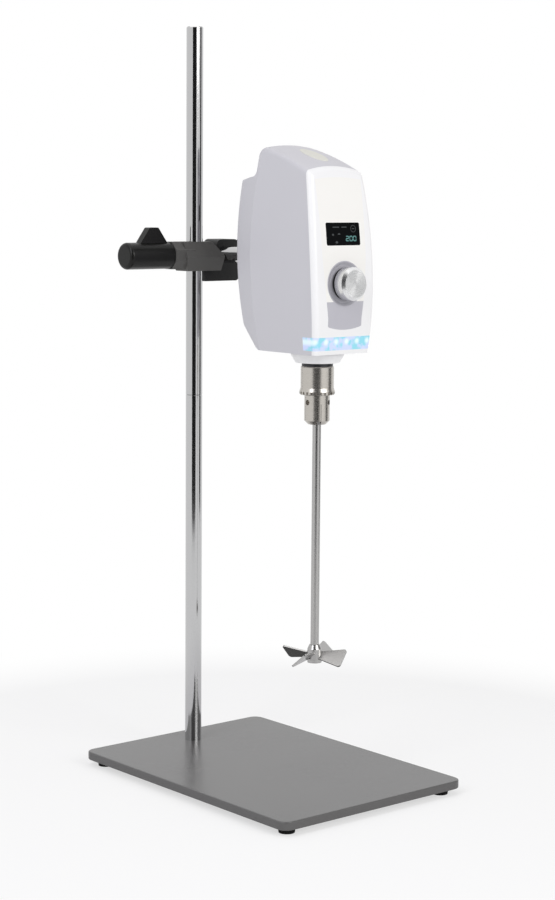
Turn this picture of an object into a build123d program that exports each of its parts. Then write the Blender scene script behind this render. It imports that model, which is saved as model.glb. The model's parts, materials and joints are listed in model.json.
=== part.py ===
"""Overhead stirrer on a plate stand, in millimetres.

The origin is the middle of the plate's footprint on the bench, +Z is up and the
control panel faces -Y.  The stand rod rises behind the middle of the plate, a cross
clamp on it carries a short support rod, and the stirring head hangs on that rod.
"""
import os
from math import atan, cos, degrees, radians, sin, sqrt

from build123d import *

os.makedirs("parts", exist_ok=True)

# Running and seating clearances.
running_gap = 0.05
seat_gap = 0.3

# Base plate, feet and their screws.
plate_width = 216.0
plate_depth = 300.0
plate_thickness = 8.0
plate_corner = 10.0
plate_edge = 1.2
foot_height = 6.0
foot_radius = 8.0
foot_taper = 0.8
foot_inset = 15.0
foot_screw_radius = 2.5
foot_screw_grip = 6.0
foot_screw_head_radius = 4.5
foot_screw_head = 2.0
foot_screw_depth = 3.5

# Stand rod, in two lengths screwed together, set in from the rear of the plate.
rod_radius = 8.0
rod_inset = 32.4
rod_y = plate_depth / 2 - rod_inset
lower_rod_length = 342.0
upper_rod_length = 350.0
rod_chamfer = 1.0
seam_chamfer = 0.5
stud_radius = 5.0
joint_stud_length = 16.0
rod_washer_radius = 11.0
rod_washer = 1.5
rod_bolt_head_radius = 7.0
rod_bolt_head = 3.0

# Cross clamp: casting on the stand rod, holder for the support rod.
clamp_z = 490.5
casting_left = -20.0
casting_right = 25.2
casting_ridge = 15.6
casting_flat = 9.6
casting_top = 12.8
casting_bottom = 15.0
casting_drop = 2.0
slope_run = 11.5
neck_radius = 13.0
neck_end = -31.4
holder_left = 11.0
holder_right = 52.0
holder_front = rod_y - 3.6
holder_rear = rod_y + 17.4
holder_bottom = 25.3
holder_top = 14.8
holder_shoulder = 6.0
holder_corner = 4.0
dome_left = 24.5
dome_corner = 6.0
holder_neck_radius = 11.0
holder_neck = 6.0
boss_screw_radius = 2.0
boss_screw_head_radius = 3.5
boss_screw_head = 4.0
boss_screw_grip = 10.0
boss_screw_pitch = 9.0
boss_screw_inset = 6.0

# Clamp screws with their pads and handles.
clamp_screw_radius = 4.0
pad_radius = 5.0
pad_thickness = 5.0
pad_travel = 2.5
pad_pocket_spare = 0.5
handle_radius = 12.6
handle_gap = 0.6
stand_handle_length = 51.0
support_handle_length = 49.0
handle_end_round = 3.5
screw_in_handle = 30.0
fin_height = 14.0
fin_root = 32.0
fin_crest = 10.0
fin_thickness = 8.0
fin_offset = 16.0
fin_round = 2.5

# Support rod between clamp and head.
support_radius = 8.0
support_x = 34.0
support_front = rod_y - 82.0
support_rear = rod_y + 28.4

# Stirring head. Heights are above the bench, depths from the spindle axis. Each bow is
# stated as its drop at one bow_span from the fullest level.
spindle_x = support_x
spindle_y = rod_y - 142.0
head_bottom = 405.0
head_mid = 485.0
head_half_width = 37.2
bow_span = 100.0
side_drop = 6.4
front_reach = 37.5
belly_z = 447.0
front_drop_above = 9.0
front_drop_below = 16.0
rear_reach = 87.0
rear_drop = 12.0
rear_mid = 510.0
strip_start = 53.8
strip_drop = 11.0
strip_mid = 500.0
rear_taper = 8.6
rear_corner = 9.0
edge_round = 5.0
least_round = 1.0
roof_radius = 283.4
roof_axis_y = 98.6
roof_axis_z = 316.6
roof_crown = 4.0
roof_half = 31.0
brow_round = 6.0
hump_end = 50.5
hump_round = 9.0
step_height = 566.5
step_end = 54.0
step_round = 6.0
deck_end = 100.0
deck_rear_z = 557.8
bevel_start = 49.5
bevel_start_round = 12.0
bevel_end = 78.0
bevel_top = 431.0
bevel_end_round = 15.0
rear_foot = 470.0
form_bottom = 380.0
form_top = 620.0
shell_wall = 2.5
bezel_wall = 3.0
bezel_depth = 5.0
cover_split = 53.5

# Control panel.
panel_skin = 0.8
panel_top = 563.0
panel_top_half = 27.6
panel_mid_z = 492.0
panel_mid_half = 26.2
panel_low_z = 456.0
panel_low_half = 22.8
panel_foot_z = 438.0
panel_foot_half = 20.3
panel_bottom = 427.5
trim_top = 453.0
display_z = 514.0
display_width = 40.7
display_height = 20.6
display_corner = 1.6
display_glass = 1.4
display_sill = 2.2
display_module_depth = 3.0
display_board_margin = 3.0
board_thickness = 1.6
light_bottom = 409.0
light_top = 421.0
light_wrap = -18.5

# Control knob on its push encoder.
knob_z = 469.0
dish_radius = 21.0
dish_floor_radius = 17.5
dish_depth = 1.9
dish_lip = 0.6
dish_liner = 0.6
knob_radius = 15.2
knob_depth = 12.0
knob_gap = 2.6
knob_chamfer = 2.6
skirt_radius = 14.6
skirt_depth = 3.0
encoder_shaft_radius = 3.0
encoder_bush_radius = 4.5
encoder_size = 13.0
encoder_depth = 6.5
encoder_floor = 1.5
encoder_travel = 0.5
bush_height = 0.8
shaft_in_knob = 9.0

# Chassis, motor and bearings.
chassis_thickness = 4.0
chassis_half = 26.0
chassis_wall_half = 18.0
chassis_front = -30.5
chassis_back = 50.0
chassis_top = 540.0
motor_radius = 27.0
motor_bore = 17.0
motor_height = 41.5
motor_cap = 8.0
rotor_gap = 0.4
rotor_inset = 4.0
spindle_radius = 6.0
spindle_top = 468.0
spindle_in_chuck = 16.0
lower_bearing_radius = 14.0
lower_bearing_lip = 3.0
upper_bearing_radius = 11.0
collar_top_radius = 25.0
collar_bottom_radius = 20.5
collar_bottom = 395.4
collar_bore = 9.0

# Keyed three-jaw chuck.
chuck_top = 394.6
ring_height = 2.6
ring_radius = 14.5
sleeve_top_radius = 15.4
sleeve_bottom_radius = 16.4
sleeve_bottom = 365.6
sleeve_chamfer = 0.8
sleeve_teeth = 24
tooth_gap = 1.9
tooth_depth = 2.2
core_radius = 12.0
nose_radius = 11.8
nose_bottom = 338.0
nose_round = 3.4
chuck_throat = 5.4
throat_depth = 34.0
jaw_count = 3
jaw_width = 3.6
jaw_reach = 4.6
jaw_height = 19.0
jaw_travel = 2.5
key_hole_radius = 2.5
key_hole_depth = 4.0
key_hole_drop = 7.0

# Stirring shaft and propeller.
shaft_radius = 4.0
shaft_top = 370.0
hub_bottom = 112.5
hub_radius = 6.8
hub_height = 13.0
hub_taper = 4.0
blade_count = 4
blade_radius = 31.0
blade_root_width = 9.0
blade_tip_width = 21.0
blade_thickness = 1.5
blade_pitch = 42.0
blade_start = -70.0
blade_z = 119.5
blade_corner = 2.5
set_screw_radius = 2.0

# Rod socket, boards and rear fittings inside the head.
socket_half = 14.0
socket_rear = 82.0
socket_screw_radius = 3.0
socket_screw_y = 70.0
control_board_half = 17.0
control_board_bottom = 512.0
control_board_top = 538.0
drive_board_bottom = 418.0
drive_board_top = 468.0
standoff_radius = 2.5
standoff_length = 4.0
capacitor_radius = 5.0
capacitor_length = 14.0
led_board_half = 22.0
led_board_height = 8.0
led_board_gap = 0.6
jack_z = 458.0
jack_radius = 5.5
jack_flange_radius = 8.0
jack_flange = 1.5
jack_depth = 14.0
jack_hole = 2.8
jack_pin = 1.0
jack_seat = 81.4
switch_z = 530.0
switch_width = 19.0
switch_height = 13.0
switch_rim = 1.5
switch_flange = 1.2
switch_depth = 12.0
switch_seat = 84.4
rocker_width = 15.0
rocker_height = 9.0
rocker_rise = 2.6
rocker_depth = 4.0
seat_block = 4.0
post_radius = 4.0
post_x = 23.0
post_low_z = 440.0
post_high_z = 545.0
post_length = 12.0
web_half = 1.0
cover_screw_radius = 1.75
cover_screw_head_radius = 3.2
cover_screw_head = 2.2
motor_screw_radius = 1.75
motor_screw_circle = 22.0
motor_screw_head = 2.0
motor_screw_head_radius = 3.2
motor_screw_grip = 8.0

# Places worked out from the sizes above.
plate_bottom = foot_height
plate_top = foot_height + plate_thickness
seam_z = plate_top + lower_rod_length
rod_top = seam_z + upper_rod_length
floor_z = head_bottom + shell_wall
chassis_z = floor_z + chassis_thickness
motor_top = chassis_z + motor_height
cap_top = motor_top + motor_cap
holder_mid_y = (holder_front + holder_rear) / 2
far = 120.0


def cylinder_between(start, end, radius):
    """Round bar of one radius between two points."""
    axis = Vector(*end) - Vector(*start)
    plane = Plane(origin=start, z_dir=axis)
    return extrude(plane * Circle(radius), amount=axis.length)


def block(low, high):
    """Square-cornered box between two opposite corners."""
    size = [b - a for a, b in zip(low, high)]
    middle = [(a + b) / 2 for a, b in zip(low, high)]
    return Pos(*middle) * Box(*size)


def turned(points, x, y):
    """Solid of revolution about a vertical axis from (radius, height) points."""
    face = make_face(Polyline(*points, close=True))
    solid = revolve(Plane.XZ * face, Axis.Z)
    return Pos(x, y, 0) * solid


def upright_plane(y):
    """Plane that faces the front, at a depth from the origin."""
    return Plane.XZ.offset(-y)


def at_spindle(shape):
    """Carry a shape drawn about the spindle axis to its place."""
    return Pos(spindle_x, spindle_y, 0) * shape


# Stand.
def foot_places():
    x = plate_width / 2 - foot_inset
    y = plate_depth / 2 - foot_inset
    return [(sx * x, sy * y) for sx in (-1, 1) for sy in (-1, 1)]


def base_plate():
    plate = Pos(0, 0, plate_bottom + plate_thickness / 2) * Box(plate_width, plate_depth, plate_thickness)
    plate = fillet(plate.edges().filter_by(Axis.Z), plate_corner)
    plate = fillet(plate.edges().filter_by(Plane.XY), plate_edge)
    plate -= cylinder_between((0, rod_y, 0), (0, rod_y, plate_top + 1), stud_radius + running_gap)
    for x, y in foot_places():
        top = plate_bottom + foot_screw_grip
        plate -= cylinder_between((x, y, 0), (x, y, top), foot_screw_radius)
    return plate


def feet():
    solids = []
    for x, y in foot_places():
        outline = [
            (foot_screw_radius, foot_screw_depth),
            (foot_screw_head_radius, foot_screw_depth),
            (foot_screw_head_radius, 0),
            (foot_radius - foot_taper, 0),
            (foot_radius, foot_height),
            (foot_screw_radius, foot_height),
        ]
        solids.append(turned(outline, x, y))
    return Compound(children=solids)


def foot_screws():
    solids = []
    for x, y in foot_places():
        head_bottom_z = foot_screw_depth - foot_screw_head
        shank = cylinder_between(
            (x, y, foot_screw_depth), (x, y, plate_bottom + foot_screw_grip), foot_screw_radius
        )
        head = cylinder_between((x, y, head_bottom_z), (x, y, foot_screw_depth), foot_screw_head_radius)
        solids.append(shank + head)
    return Compound(children=solids)


def lower_rod():
    rod = cylinder_between((0, rod_y, plate_top), (0, rod_y, seam_z), rod_radius)
    rod = chamfer(rod.edges().group_by(Axis.Z)[-1], seam_chamfer)
    rod += cylinder_between((0, rod_y, plate_bottom), (0, rod_y, plate_top), stud_radius)
    rod -= cylinder_between((0, rod_y, seam_z - joint_stud_length), (0, rod_y, seam_z), stud_radius)
    return rod


def upper_rod():
    rod = cylinder_between((0, rod_y, seam_z), (0, rod_y, rod_top), rod_radius)
    rod = chamfer(rod.edges().group_by(Axis.Z)[-1], rod_chamfer)
    rod = chamfer(rod.edges().group_by(Axis.Z)[0], seam_chamfer)
    rod += cylinder_between((0, rod_y, seam_z - joint_stud_length), (0, rod_y, seam_z), stud_radius)
    return rod


def rod_bolt():
    """Washer and hexagon head that draw the stand rod down on the plate."""
    washer_bottom = plate_bottom - rod_washer
    washer = cylinder_between((0, rod_y, washer_bottom), (0, rod_y, plate_bottom), rod_washer_radius)
    hexagon = RegularPolygon(rod_bolt_head_radius, 6)
    head = extrude(Pos(0, rod_y, washer_bottom - rod_bolt_head) * hexagon, amount=rod_bolt_head)
    return washer + head


# Cross clamp.
def clamp_casting_block():
    ridge = [
        (rod_y - casting_ridge, clamp_z - casting_drop),
        (rod_y - casting_flat, clamp_z + casting_top),
        (rod_y + casting_flat, clamp_z + casting_top),
        (rod_y + casting_ridge, clamp_z - casting_drop),
        (rod_y + casting_flat, clamp_z - casting_bottom),
        (rod_y - casting_flat, clamp_z - casting_bottom),
    ]
    bar = extrude(Plane.YZ * make_face(Polyline(*ridge, close=True)), amount=far, both=True)
    ends = [
        (casting_left, clamp_z + casting_top + 1),
        (casting_right - slope_run, clamp_z + casting_top + 1),
        (casting_right, clamp_z),
        (casting_right, clamp_z - casting_bottom - 1),
        (casting_left + slope_run / 2, clamp_z - casting_bottom - 1),
        (casting_left, clamp_z - casting_drop),
    ]
    outline = extrude(Plane.XZ * make_face(Polyline(*ends, close=True)), amount=-rod_y - far)
    return bar & outline


def stand_clamp_bores(solid):
    pocket_end = -rod_radius - seat_gap - pad_thickness - pad_travel - pad_pocket_spare
    solid -= cylinder_between((0, rod_y, 0), (0, rod_y, rod_top), rod_radius + running_gap)
    solid -= cylinder_between((0, rod_y, clamp_z), (pocket_end, rod_y, clamp_z), pad_radius + running_gap)
    solid -= cylinder_between(
        (pocket_end + 1, rod_y, clamp_z), (neck_end - 1, rod_y, clamp_z), clamp_screw_radius + running_gap
    )
    return solid


def boss_screw_places():
    x = holder_left + boss_screw_inset
    return [(x, holder_mid_y + side * boss_screw_pitch / 2) for side in (-1, 1)]


def boss_head():
    """Cast clamp body that rides on the stand rod."""
    casting = clamp_casting_block()
    octagon = RegularPolygon(neck_radius, 8, major_radius=False, rotation=180 / 8)
    neck = extrude(Plane(origin=(neck_end, rod_y, clamp_z), z_dir=(1, 0, 0)) * octagon, amount=-neck_end - rod_radius)
    casting = stand_clamp_bores(casting + neck)
    for x, y in boss_screw_places():
        low = clamp_z - casting_bottom
        casting -= cylinder_between((x, y, low), (x, y, low + boss_screw_grip), boss_screw_radius)
    return casting


def rod_holder():
    """Block under and behind the casting that grips the support rod."""
    outline = [
        (holder_left, clamp_z - holder_bottom),
        (holder_right, clamp_z - holder_bottom),
        (holder_right, clamp_z + holder_top),
        (dome_left, clamp_z + holder_top),
        (dome_left, clamp_z + holder_shoulder - 1),
        (holder_left, clamp_z + holder_shoulder - 1),
    ]
    face = make_face(Polyline(*outline, close=True))
    top_corners = face.vertices().group_by(Axis.Y)[-1]
    face = fillet(top_corners, dome_corner)
    face = fillet(face.vertices().group_by(Axis.Y)[0].sort_by(Axis.X)[-1:], holder_corner)
    holder = extrude(upright_plane(holder_rear) * face, amount=holder_rear - holder_front)
    neck = cylinder_between(
        (holder_right, holder_mid_y, clamp_z), (holder_right + holder_neck, holder_mid_y, clamp_z), holder_neck_radius
    )
    neck = neck & block((0, holder_front, 0), (holder_right + far, holder_rear, rod_top))
    holder = (holder + neck) - clamp_casting_block()
    keep_clear = cylinder_between((0, rod_y, 0), (0, rod_y, rod_top), rod_radius + 1.5)
    holder -= keep_clear
    pocket_end = support_x + support_radius + seat_gap + pad_thickness + pad_travel + pad_pocket_spare
    holder -= cylinder_between(
        (support_x, 0, clamp_z), (support_x, support_rear + far, clamp_z), support_radius + running_gap
    )
    holder -= cylinder_between(
        (support_x, holder_mid_y, clamp_z), (pocket_end, holder_mid_y, clamp_z), pad_radius + running_gap
    )
    holder -= cylinder_between(
        (pocket_end - 1, holder_mid_y, clamp_z),
        (holder_right + far, holder_mid_y, clamp_z),
        clamp_screw_radius + running_gap,
    )
    for x, y in boss_screw_places():
        low = clamp_z - holder_bottom
        holder -= cylinder_between((x, y, low), (x, y, low + boss_screw_head), boss_screw_head_radius)
        holder -= cylinder_between((x, y, low), (x, y, clamp_z), boss_screw_radius)
    return holder


def boss_screws():
    solids = []
    for x, y in boss_screw_places():
        low = clamp_z - holder_bottom
        top = clamp_z - casting_bottom + boss_screw_grip
        shank = cylinder_between((x, y, low + boss_screw_head), (x, y, top), boss_screw_radius)
        head = cylinder_between((x, y, low), (x, y, low + boss_screw_head), boss_screw_head_radius)
        solids.append(shank + head)
    return Compound(children=solids)


def clamp_parts(axis_x, axis_y, bar_radius, side, face_x, length):
    """Pad, screw and finned handle of one clamp; side is the way the handle points."""
    pad_face = axis_x + side * (bar_radius + seat_gap)
    pad_back = pad_face + side * pad_thickness
    handle_start = face_x + side * handle_gap
    handle_end = handle_start + side * length
    pad = cylinder_between((pad_face, axis_y, clamp_z), (pad_back, axis_y, clamp_z), pad_radius)
    tip = handle_start + side * screw_in_handle
    screw = cylinder_between((pad_back, axis_y, clamp_z), (tip, axis_y, clamp_z), clamp_screw_radius)
    grip = cylinder_between((handle_start, axis_y, clamp_z), (handle_end, axis_y, clamp_z), handle_radius)
    end_edge = grip.edges().filter_by(GeomType.CIRCLE).sort_by(Axis.X)[0 if side < 0 else -1]
    grip = fillet(end_edge, handle_end_round)
    grip += handle_fin(handle_end, axis_y, side)
    grip -= cylinder_between((handle_start, axis_y, clamp_z), (tip, axis_y, clamp_z), clamp_screw_radius)
    return pad, screw, grip


def handle_fin(end_x, axis_y, side):
    """Thumb fin that stands on the grip."""
    low = end_x - side * fin_offset
    high = low - side * fin_root
    middle = (low + high) / 2
    crest = clamp_z + handle_radius + fin_height
    outline = [
        (low, clamp_z),
        (low, clamp_z + handle_radius - 1),
        (middle + side * fin_crest / 2, crest),
        (middle - side * fin_crest / 2, crest),
        (high, clamp_z + handle_radius - 1),
        (high, clamp_z),
    ]
    face = make_face(Polyline(*outline, close=True))
    face = fillet(face.vertices().group_by(Axis.Y)[-1], fin_round)
    start = axis_y + fin_thickness / 2
    return extrude(upright_plane(start) * face, amount=fin_thickness)


def support_rod():
    rod = cylinder_between(
        (support_x, support_front, clamp_z), (support_x, support_rear, clamp_z), support_radius
    )
    return chamfer(rod.edges().filter_by(GeomType.CIRCLE), rod_chamfer)


# Head casing. Each face bows gently away from its fullest level.
def bow(drop, z, middle):
    return drop * ((z - middle) / bow_span) ** 2


def half_width_at(z):
    return head_half_width - bow(side_drop, z, head_mid)


def front_drop(z):
    return front_drop_above if z > belly_z else front_drop_below


def front_at(z):
    return -front_reach + bow(front_drop(z), z, belly_z)


def rear_at(z):
    return rear_reach - bow(rear_drop, z, rear_mid)


def front_lean(z):
    """Angle in degrees by which the panel's normal tips up at a height."""
    return degrees(atan(2 * front_drop(z) * (z - belly_z) / bow_span**2))


def form_heights(count):
    """Even spread of heights from below the casing to above it."""
    step = (form_top - form_bottom) / (count - 1)
    return [form_bottom + step * number for number in range(count)]


def front_outline(inset):
    """Crowned sides, as seen from the front, carried right through."""
    right = [(half_width_at(z) - inset, z) for z in form_heights(9)]
    left = [(-x, z) for x, z in reversed(right)]
    sides = Spline(*right) + Line(right[-1], left[0]) + Spline(*left) + Line(left[-1], right[0])
    return extrude(upright_plane(far) * make_face(sides), amount=2 * far)


def behind_front(inset):
    """Face in the side view behind the bowed front, moved in by an inset."""
    curve = [(front_at(z) + inset, z) for z in form_heights(9)]
    rest = Polyline(curve[-1], (2 * far, form_top), (2 * far, form_bottom), curve[0])
    return make_face(Spline(*curve) + rest)


def side_outline(inset):
    """Side view of the casing: flat foot, rear bevel, low rear deck and hump."""
    outline = [
        (-far, head_bottom),
        (bevel_start, head_bottom),
        (bevel_end, bevel_top),
        (deck_end, rear_foot),
        (deck_end, deck_rear_z),
        (step_end, step_height),
        (hump_end, roof_at(hump_end)),
        (hump_end, form_top),
        (-far, form_top),
    ]
    face = make_face(Polyline(*outline, close=True))
    rounds = (
        ((step_end, step_height), step_round),
        ((bevel_start, head_bottom), bevel_start_round),
        ((bevel_end, bevel_top), bevel_end_round),
    )
    for (y, z), radius in rounds:
        corner = face.vertices().sort_by_distance((y, z, 0))[0]
        face = fillet([corner], radius)
    if inset:
        face = offset(face, -inset)
    face &= behind_front(inset)
    return extrude(Plane.YZ.offset(-far) * face, amount=2 * far)


def roof_at(y):
    """Height of the roof along the middle of the head."""
    return roof_axis_z + sqrt(roof_radius**2 - (y - roof_axis_y) ** 2)


def roof_form(inset):
    """Barrel whose crowned surface makes the roof."""
    crest = roof_radius - inset
    side = crest - roof_crown * (far / roof_half) ** 2
    arc = ThreePointArc((-far, side), (0, crest), (far, side))
    core = roof_radius / 10
    rest = Polyline((far, side), (far, core), (-far, core), (-far, side))
    plane = Plane(origin=(0, roof_axis_y, roof_axis_z), x_dir=(1, 0, 0), z_dir=(0, -1, 0))
    return revolve(plane * make_face(arc + rest), Axis((0, roof_axis_y, roof_axis_z), (1, 0, 0)))


def rear_form(inset):
    """Tapered rear, lofted through level sections that run wide of the front."""
    slope_reach = far
    sections = []
    for z in form_heights(6):
        half = half_width_at(z) - inset
        rear = rear_at(z) - inset
        strip = strip_start - bow(strip_drop, z, strip_mid)
        wide = half + rear_taper / (rear_at(z) - strip) * slope_reach
        front = strip - slope_reach
        narrow = half - rear_taper
        face = make_face(Polyline((-wide, front), (wide, front), (narrow, rear), (-narrow, rear), close=True))
        corners = face.vertices().group_by(Axis.Y)[-1]
        sections.append(Plane.XY.offset(z) * fillet(corners, max(rear_corner - inset, least_round)))
    return loft(sections)


def across(edge):
    """True for an edge that crosses the middle of the head."""
    return abs((edge @ 0.5).X) < least_round


def round_casing(body, inset):
    """Round the brow, the end of the hump and the long side edges."""
    brow = [e for e in body.edges() if across(e) and (e @ 0.5).Y < 0 and (e @ 0.5).Z > step_height - edge_round]
    body = fillet(brow, max(brow_round - inset, least_round))
    crest = roof_at(hump_end) - edge_round - inset
    hump = [e for e in body.edges() if across(e) and (e @ 0.5).Y > 0 and (e @ 0.5).Z > crest]
    body = fillet(hump, max(hump_round - inset, least_round))
    loop = []
    for edge in body.edges():
        middle = edge @ 0.5
        upper = middle.Z > deck_rear_z - edge_round or middle.Y < 0
        inner = middle.Z > head_bottom + inset + least_round and middle.Y < deck_end - inset - least_round
        if abs(middle.X) > roof_half - 2 * edge_round and upper and inner:
            loop.append(edge)
    return fillet(loop, max(edge_round - inset, least_round))


def casing_form(inset):
    body = front_outline(inset) & side_outline(inset) & roof_form(inset)
    return round_casing(body, inset) & rear_form(inset)


outer_form = casing_form(0)
shell_form = casing_form(shell_wall)
bezel_form = casing_form(bezel_wall)
skin_form = casing_form(panel_skin)
glass_form = casing_form(display_glass)


def front_zone(depth):
    """Everything ahead of the bowed front, down to a depth behind it."""
    curve = [(front_at(z) + depth, z) for z in form_heights(9)]
    rest = Polyline(curve[-1], (-far, form_top), (-far, form_bottom), curve[0])
    return extrude(Plane.YZ.offset(-far) * make_face(Spline(*curve) + rest), amount=2 * far)


def slab(y_low, y_high):
    return block((-far, y_low, form_bottom), (far, y_high, form_top))


def front_prism(face):
    """Carry an outline drawn on the XZ plane through the front of the casing."""
    return extrude(Plane.XZ * face, amount=far)


def knob_plane(depth):
    """Plane square to the knob axis; depth is measured out from the panel."""
    lean = radians(front_lean(knob_z))
    normal = Vector(0, -cos(lean), sin(lean))
    foot = Vector(0, front_at(knob_z), knob_z)
    return Plane(origin=foot + normal * depth, x_dir=(1, 0, 0), z_dir=normal)


def knob_bar(depth_from, depth_to, radius):
    return extrude(knob_plane(depth_from) * Circle(radius), amount=depth_to - depth_from)


def panel_face():
    crown = panel_top + 2
    left = Polyline(
        (panel_foot_half, panel_bottom + 3),
        (panel_foot_half, panel_foot_z),
        (panel_low_half, panel_low_z),
        (panel_mid_half, panel_mid_z),
        (panel_top_half, panel_top),
    )
    arch = ThreePointArc((panel_top_half, panel_top), (0, crown), (-panel_top_half, panel_top))
    right = Polyline(
        (-panel_top_half, panel_top),
        (-panel_mid_half, panel_mid_z),
        (-panel_low_half, panel_low_z),
        (-panel_foot_half, panel_foot_z),
        (-panel_foot_half, panel_bottom + 3),
    )
    chin = ThreePointArc((-panel_foot_half, panel_bottom + 3), (0, panel_bottom), (panel_foot_half, panel_bottom + 3))
    face = make_face(left + arch + right + chin)
    return fillet(face.vertices().group_by(Axis.Y)[0], 2.0)


def display_face(shrink):
    width = display_width - 2 * shrink
    height = display_height - 2 * shrink
    return Pos(0, display_z) * RectangleRounded(width, height, display_corner)


def dish(grow):
    """Shallow cone sunk round the knob, grown all round by a liner's thickness."""
    wide = knob_plane(dish_lip) * Circle(dish_radius + dish_lip + grow)
    narrow = knob_plane(-dish_depth - grow) * Circle(dish_floor_radius + grow)
    return loft([narrow, wide])


def light_zone():
    return block((-far, -far, light_bottom), (far, light_wrap, light_top))


def post_places():
    return [(sx * post_x, z) for sx in (-1, 1) for z in (post_low_z, post_high_z)]


def front_bezel():
    """White moulding that frames the panel and carries display, knob and light bar."""
    bezel = (outer_form - bezel_form) & front_zone(bezel_depth)
    bezel -= (outer_form - skin_form) & front_prism(panel_face())
    bezel -= (outer_form - glass_form) & front_prism(display_face(0))
    bezel -= front_prism(display_face(display_sill)) & slab(-far, 0)
    bezel -= dish(dish_liner)
    bezel -= knob_bar(-far / 4, 1, encoder_bush_radius)
    bezel -= light_zone()
    return at_spindle(bezel)


def control_panel():
    """Thin face plate let into the bezel above the lower trim."""
    panel = (outer_form - skin_form) & front_prism(panel_face())
    panel &= block((-far, -far, trim_top), (far, 0, form_top))
    panel -= front_prism(display_face(0))
    panel -= dish(dish_liner)
    return at_spindle(panel)


def lower_trim():
    """Shield-shaped face plate under the knob, in one with the knob's dish."""
    trim = (outer_form - skin_form) & front_prism(panel_face())
    trim &= block((-far, -far, head_bottom), (far, 0, trim_top))
    trim += (dish(dish_liner) - dish(0)) & outer_form
    trim -= dish(0)
    trim -= knob_bar(-far / 4, 1, encoder_bush_radius)
    return at_spindle(trim)


def display_window():
    window = (outer_form - glass_form) & front_prism(display_face(0)) & slab(-far, 0)
    return at_spindle(window)


def light_bar():
    bar = (outer_form - bezel_form) & light_zone()
    return at_spindle(bar)


def main_shell():
    """Side and top moulding with the spindle opening in its floor."""
    shell = (outer_form - shell_form) & slab(-far, cover_split)
    shell -= front_zone(bezel_depth)
    shell -= light_zone()
    shell -= cylinder_between((0, 0, 0), (0, 0, floor_z + 1), lower_bearing_radius + running_gap)
    for x, z in post_places():
        wall_x = half_width_at(z) - shell_wall / 2
        low_x, high_x = sorted((x, x / post_x * wall_x))
        start = cover_split - post_length
        shell += cylinder_between((x, start, z), (x, cover_split, z), post_radius)
        shell += block((low_x, start, z - web_half), (high_x, cover_split, z + web_half))
        shell -= cylinder_between((x, 0, z), (x, far, z), cover_screw_radius)
    return at_spindle(shell)


def rear_seat(z, half_x, half_z, seat):
    """Flat-floored thickening of the rear wall for one fitting."""
    low = (-half_x - seat_block, seat - seat_block, z - half_z - seat_block)
    high = (half_x + seat_block, far * 2, z + half_z + seat_block)
    return block(low, high) & outer_form


def rear_cover():
    """Rear moulding with the rod opening, jack and switch seats."""
    cover = (outer_form - shell_form) & slab(cover_split, far * 2)
    cover += rear_seat(jack_z, jack_flange_radius, jack_flange_radius, jack_seat)
    cover += rear_seat(switch_z, switch_width / 2 + switch_rim, switch_height / 2 + switch_rim, switch_seat)
    cover -= cylinder_between((0, jack_seat, jack_z), (0, far * 2, jack_z), jack_flange_radius + running_gap)
    cover -= cylinder_between((0, 0, jack_z), (0, far * 2, jack_z), jack_radius)
    rim_x = switch_width / 2 + switch_rim
    rim_z = switch_height / 2 + switch_rim
    cover -= block((-rim_x, switch_seat, switch_z - rim_z), (rim_x, far * 2, switch_z + rim_z))
    half_x = switch_width / 2
    half_z = switch_height / 2
    cover -= block((-half_x, 0, switch_z - half_z), (half_x, far * 2, switch_z + half_z))
    cover -= cylinder_between((0, 0, clamp_z), (0, far * 2, clamp_z), support_radius + seat_gap)
    for x, z in post_places():
        tube = cylinder_between((x, cover_split, z), (x, far * 2, z), post_radius)
        cover += tube & outer_form
        cover -= cylinder_between((x, 0, z), (x, far * 2, z), cover_screw_radius)
        cover -= cylinder_between((x, cover_screw_seat(z), z), (x, far * 2, z), cover_screw_head_radius)
    return at_spindle(cover)


def cover_screw_seat(z):
    """Depth of the counterbore floor, set below the bowed rear face."""
    return rear_at(z) - rear_corner


def cover_screws():
    solids = []
    for x, z in post_places():
        seat = cover_screw_seat(z)
        shank = cylinder_between((x, cover_split - post_length + 1, z), (x, seat, z), cover_screw_radius)
        head = cylinder_between((x, seat, z), (x, seat + cover_screw_head, z), cover_screw_head_radius)
        solids.append(at_spindle(shank + head))
    return Compound(children=solids)


# Chassis and drive.
def motor_screw_places():
    spots = []
    for quarter in range(4):
        angle = radians(45 + 90 * quarter)
        spots.append((motor_screw_circle * cos(angle), motor_screw_circle * sin(angle)))
    return spots


def chassis():
    """Bent plate that ties the motor, the boards and the rod socket together."""
    low = (-chassis_half, chassis_front, floor_z)
    foot = block(low, (chassis_half, chassis_back, chassis_z))
    wall_front = chassis_back - chassis_thickness
    wall = block((-chassis_wall_half, wall_front, floor_z), (chassis_wall_half, chassis_back, chassis_top))
    plate = foot + wall
    plate &= shell_form
    plate &= bezel_form
    plate -= cylinder_between((0, 0, 0), (0, 0, chassis_z + 1), lower_bearing_radius + running_gap)
    for low_z, high_z in board_spans():
        for x, z in standoff_places(low_z, high_z):
            start = (x, wall_front - standoff_length, z)
            plate += cylinder_between(start, (x, wall_front, z), standoff_radius)
    return at_spindle(plate)


def board_spans():
    return [(control_board_bottom, control_board_top), (drive_board_bottom, drive_board_top)]


def standoff_places(low_z, high_z):
    inset = 4.0
    x = control_board_half - inset
    return [(sx * x, z) for sx in (-1, 1) for z in (low_z + inset, high_z - inset)]


def board(low_z, high_z):
    face = chassis_back - chassis_thickness - standoff_length
    plate = block((-control_board_half, face - board_thickness, low_z), (control_board_half, face, high_z))
    front = face - board_thickness
    middle = (low_z + high_z) / 2
    for x in (-control_board_half / 2, 0, control_board_half / 2):
        start = (x, front, middle)
        plate += cylinder_between(start, (x, front - capacitor_length, middle), capacitor_radius)
    return plate


def control_board():
    return at_spindle(board(control_board_bottom, control_board_top))


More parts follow.
